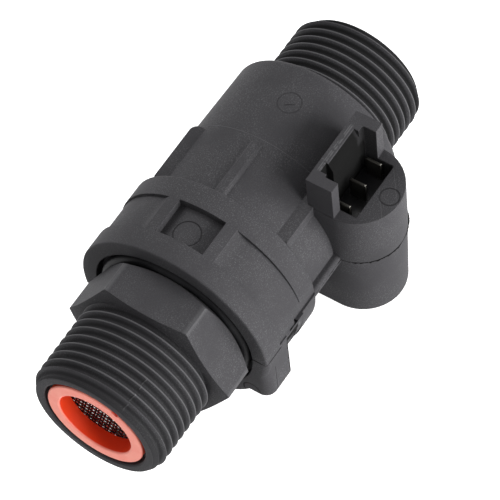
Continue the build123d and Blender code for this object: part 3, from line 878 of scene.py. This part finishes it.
# %% Red plastic, with painted light on the flange
def red_plastic():
    finish = Finish("red_plastic", IOR=1.5)
    along = finish.along()[0]
    bore = along.above(0.25 * mm, 0.5 * mm)
    cloud = finish.noise(3 * mm, 3.0)
    # The flange's pale pink is painted light, and the bore keeps the deep red.
    lit_flange = finish.mix(cloud.above(0.3, 0.7), (0.96, 0.27, 0.2), (0.99, 0.33, 0.25))
    finish.feed("Base Color", finish.mix(bore, lit_flange, (0.98, 0.06, 0.012)))
    finish.feed("Roughness", 0.55 - bore * 0.2 + cloud * 0.08)
    finish.bump(finish.noise(0.2 * mm, 2.0), 0.004 * mm)
    return finish.material


# %% [markdown]
# ## Plain finishes and metals
# All other pieces are plain: two close shades in soft clouds with a fine skin, or fine streaks on drawn
# metal. One function for each kind keeps them alike, and only shades, gloss and grain size differ.

# %% Plain plastics, rubber and resin
def plain_finish(name, dark, light, roughness, grain_size, relief, coat=0.0, gloss=0.5):
    """A moulded or cast finish: two close shades in clouds, with a fine skin."""
    finish = Finish(name, IOR=1.5, Coat_Weight=coat, Specular_IOR_Level=gloss)
    cloud = finish.noise(4 * mm, 3.0)
    grain = finish.noise(grain_size, 2.0)
    finish.feed("Base Color", finish.mix(cloud.above(0.3, 0.7), dark, light))
    finish.feed("Roughness", roughness - 0.06 + cloud * 0.06 + grain * 0.06)
    finish.bump(grain, relief)
    return finish.material


# %% Metals
def metal_finish(name, dark, light, roughness, streak_size):
    """Drawn or plated metal with fine streaks."""
    finish = Finish(name, Metallic=1.0)
    streak = finish.noise(streak_size, 4.0)
    finish.feed("Base Color", finish.mix(streak.above(0.3, 0.7), dark, light))
    finish.feed("Roughness", roughness - 0.08 + streak * 0.16)
    finish.bump(streak, 0.002 * mm)
    return finish.material


# %% [markdown]
# ## Dark metal with painted glints
# The strainer's wire and the plug's contacts are given near-black colours, as painted dark reflection on
# the wire and painted shade on the contacts. A mask made from the place on the part marks the tops of the
# waves and the ends of the contacts. On the wire the mask forms bands of painted glints along the turned
# weave. On the contacts it only changes shade and gloss a little.

# %% Wire and contacts in painted shade, with painted glints
def metal_with_painted_glints(name, dark, bright, roughness, glints):
    """Near-black metal as painted shade, with a second colour and more gloss where the mask, made from its
    place, says.
    """
    finish = Finish(name, Metallic=1.0)
    mask = glints(finish) * finish.noise(0.9 * mm, 2.0).above(0.35, 0.5)
    finish.feed("Base Color", finish.mix(mask, dark, bright))
    finish.feed("Roughness", roughness - mask * 0.1)
    finish.bump(finish.noise(0.2 * mm, 3.0), 0.002 * mm)
    return finish.material


# %% Where the wire gets painted glints and the contacts more gloss
glint_spacing = 1.4 * mm


def wire_glints(finish):
    along, across, up = finish.along()
    top = 1 - along.above(strainer_x - 0.15 * mm, strainer_x - 0.1 * mm)
    row = (up * math.cos(strainer_turn) - across * math.sin(strainer_turn)) * (2 * math.pi / glint_spacing)
    return top * row.maths("SINE", row).above(-0.3, 0.4)


def contact_ends(finish):
    across = finish.along()[1]
    return 1 - across.between(-18.8 * mm, -16.4 * mm, 0.15 * mm)


# %% Finish of each material slot
finishes = {
    "black_nylon": nylon,
    "red_plastic": red_plastic(),
    "seal_rubber": plain_finish(
        "seal_rubber", (0.010, 0.010, 0.011), (0.016, 0.016, 0.017), 0.45, 0.3 * mm, 0.003 * mm, gloss=0.06,
    ),
    "steel": metal_finish("drawn_steel", (0.3, 0.3, 0.3), (0.42, 0.42, 0.41), 0.24, 0.3 * mm),
    # The wire's near black is painted dark reflection, and its bright colour is painted glints on the wave
    # tops.
    "strainer_wire": metal_with_painted_glints("strainer_wire", (0.01, 0.01, 0.01), (0.98, 0.98, 0.96), 0.3, wire_glints),
    "white_plastic": plain_finish(
        "white_plastic", (0.7, 0.69, 0.65), (0.78, 0.77, 0.73), 0.45, 0.4 * mm, 0.004 * mm,
    ),
    "rotor_plastic": plain_finish(
        "rotor_plastic", (0.085, 0.085, 0.088), (0.11, 0.11, 0.112), 0.42, 0.4 * mm, 0.004 * mm,
    ),
    "ferrite": plain_finish("ferrite", (0.07, 0.07, 0.075), (0.1, 0.1, 0.105), 0.4, 0.15 * mm, 0.008 * mm),
    "bearing_plastic": plain_finish(
        "bearing_plastic", (0.46, 0.38, 0.26), (0.54, 0.46, 0.33), 0.45, 0.3 * mm, 0.004 * mm,
    ),
    "board_green": plain_finish(
        "board_green", (0.02, 0.16, 0.05), (0.04, 0.23, 0.08), 0.35, 0.5 * mm, 0.01 * mm, coat=0.5,
    ),
    "chip_black": plain_finish(
        "chip_black", (0.025, 0.025, 0.025), (0.04, 0.04, 0.04), 0.6, 0.1 * mm, 0.006 * mm,
    ),
    "chip_tan": plain_finish("chip_tan", (0.4, 0.29, 0.17), (0.5, 0.38, 0.24), 0.4, 0.2 * mm, 0.004 * mm),
    # The contacts' near-black colour is painted shade.
    "plated_brass": metal_with_painted_glints(
        "plated_brass", (0.06, 0.058, 0.052), (0.05, 0.048, 0.043), 0.5, contact_ends,
    ),
    "resin_black": plain_finish(
        "resin_black", (0.014, 0.014, 0.015), (0.022, 0.022, 0.024), 0.25, 2.0 * mm, 0.02 * mm,
    ),
}
print("finishes:", len(finishes))

# %% [markdown]
# ## Dressing the pieces
# Each CAD node takes the finish of its material slot. The new pieces ride on the body, stand for the
# nodes that they replace, and get smooth shading up to the angle of a real edge.


# %% Finishes on the CAD nodes
def dress(piece, slot):
    piece.data.materials.clear()
    piece.data.materials.append(finishes[slot])


for subpart in frame["record"]["subparts"]:
    dress(frame["nodes"][subpart["node"]], subpart["material_slot"])


# %% New pieces take their places
def settle(piece, slot, *nodes, edge_angle=32, finish=None):
    """Shades a new piece, gives it its finish, hangs it on the body and hides the nodes that it replaces.
    """
    only(piece)
    bpy.ops.object.shade_smooth_by_angle(angle=math.radians(edge_angle))
    dress(piece, finish or slot)
    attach(piece, "sensor_body")
    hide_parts(*nodes)


settle(threaded_body, "black_nylon", "main_body")
settle(threaded_adapter, "black_nylon", "inlet_adapter")
settle(parting_flash, "black_nylon")
settle(woven_strainer, "steel", "strainer_mesh", edge_angle=70, finish="strainer_wire")

# %% [markdown]
# ## Floor and surroundings
# The part is shown on plain white. Floor and world glow fully only for rays from the camera, from gloss
# or through glass. For all other rays the floor doesn't glow and the world gives a lower level, so that
# the nylon renders about as it is written.


# %% Rays that see the background itself
def background_rays(finish):
    """1 for rays from the camera, from gloss or through glass, and 0 for all others."""
    rays = finish.add("ShaderNodeLightPath", {}, {})
    seen = rays["Is Camera Ray"].maths("MAXIMUM", rays["Is Camera Ray"], rays["Is Glossy Ray"])
    return seen.maths("MAXIMUM", seen, rays["Is Transmission Ray"])


# %% White floor
def white_floor():
    finish = Finish("white_floor", Base_Color=(0.8, 0.8, 0.8, 1), Roughness=0.9, Specular_IOR_Level=0.0)
    strength = background_rays(finish) * floor_glow
    glow = finish.add("ShaderNodeEmission", {}, {"Color": (1, 1, 1, 1), "Strength": strength})
    both = finish.tree.nodes.new("ShaderNodeAddShader")
    finish.tree.links.new(glow["Emission"].socket, both.inputs[0])
    finish.tree.links.new(finish.shader.outputs[0], both.inputs[1])
    finish.tree.links.new(both.outputs[0], finish.tree.nodes["Material Output"].inputs["Surface"])
    return finish.material


floor_glow = 0.9
floor_size = 6
floor_z = cad_box[0].z - 0.2 * mm
bpy.ops.object.select_all(action="DESELECT")
bpy.ops.mesh.primitive_plane_add(size=floor_size, location=(0, 0, floor_z))
floor = bpy.context.object
floor.name = "floor"
floor.data.materials.append(white_floor())

# %% World
class Surroundings(Finish):
    """The world's nodes, with the same way of adding and linking them."""

    def __init__(self, name):
        self.world = bpy.data.worlds.new(name)
        self.world.use_nodes = True
        self.tree = self.world.node_tree
        self.shader = self.tree.nodes["Background"]


world_light = 0.345
studio = Surroundings("studio")
studio.shader.inputs["Color"].default_value = (1, 1, 1, 1)
studio.feed("Strength", background_rays(studio) * (1 - world_light) + world_light)
bpy.context.scene.world = studio.world

# %% [markdown]
# ## Camera
# The camera was found by matching the outlines, rims and thread crests of the photograph: a long lens,
# round to the inlet's side and well above, rolled a little.

# %% Direction of the camera
camera_azimuth = math.radians(-51.123)
camera_elevation = math.radians(57.386)
camera_roll = math.radians(-7.233)
camera_distance = 588.684 * mm
camera_target = Vector((39.259, -6.816, 7.553)) * mm
focal_pixels = 3428.862
image_size = 500
sensor_width = 36.0

back = Vector((
    math.sin(camera_azimuth) * math.cos(camera_elevation),
    -math.cos(camera_azimuth) * math.cos(camera_elevation),
    math.sin(camera_elevation),
))
level = Vector((math.cos(camera_azimuth), math.sin(camera_azimuth), 0))
upward = back.cross(level)
right = level * math.cos(camera_roll) + upward * math.sin(camera_roll)
over = -level * math.sin(camera_roll) + upward * math.cos(camera_roll)

# %% Camera with its long lens
lens = bpy.data.cameras.new("camera")
lens.sensor_width = sensor_width
lens.lens = focal_pixels * sensor_width / image_size
camera = bpy.data.objects.new("camera", lens)
bpy.context.scene.collection.objects.link(camera)
camera.rotation_euler = Matrix((right, over, back)).transposed().to_euler()
camera.location = camera_target + back * camera_distance
bpy.context.scene.camera = camera
print("lens:", round(lens.lens, 1), "mm")


# %% [markdown]
# ## Lamps
# Two soft square lamps are placed as seen in the picture: the stronger one low on the right, which
# lights the boss and the faces turned that way, and a weak one from the upper left.

# %% Soft lamps, placed as seen from the camera
def soft_lamp(name, side, height, toward, distance, size, power):
    """A square lamp at a place given along the picture's right, its up and toward the camera."""
    direction = (right * side + over * height + back * toward).normalized()
    lamp = bpy.data.lights.new(name, "AREA")
    lamp.size = size
    lamp.energy = power
    holder = bpy.data.objects.new(name, lamp)
    bpy.context.scene.collection.objects.link(holder)
    holder.location = camera_target + direction * distance
    holder.rotation_euler = direction.to_track_quat("Z", "Y").to_euler()


soft_lamp("right_lamp", side=0.88, height=-0.27, toward=0.42, distance=0.8, size=0.7, power=19.5)
soft_lamp("left_lamp", side=-0.52, height=0.82, toward=0.25, distance=0.8, size=0.5, power=5.5)
bpy.context.scene.view_settings.view_transform = "Standard"
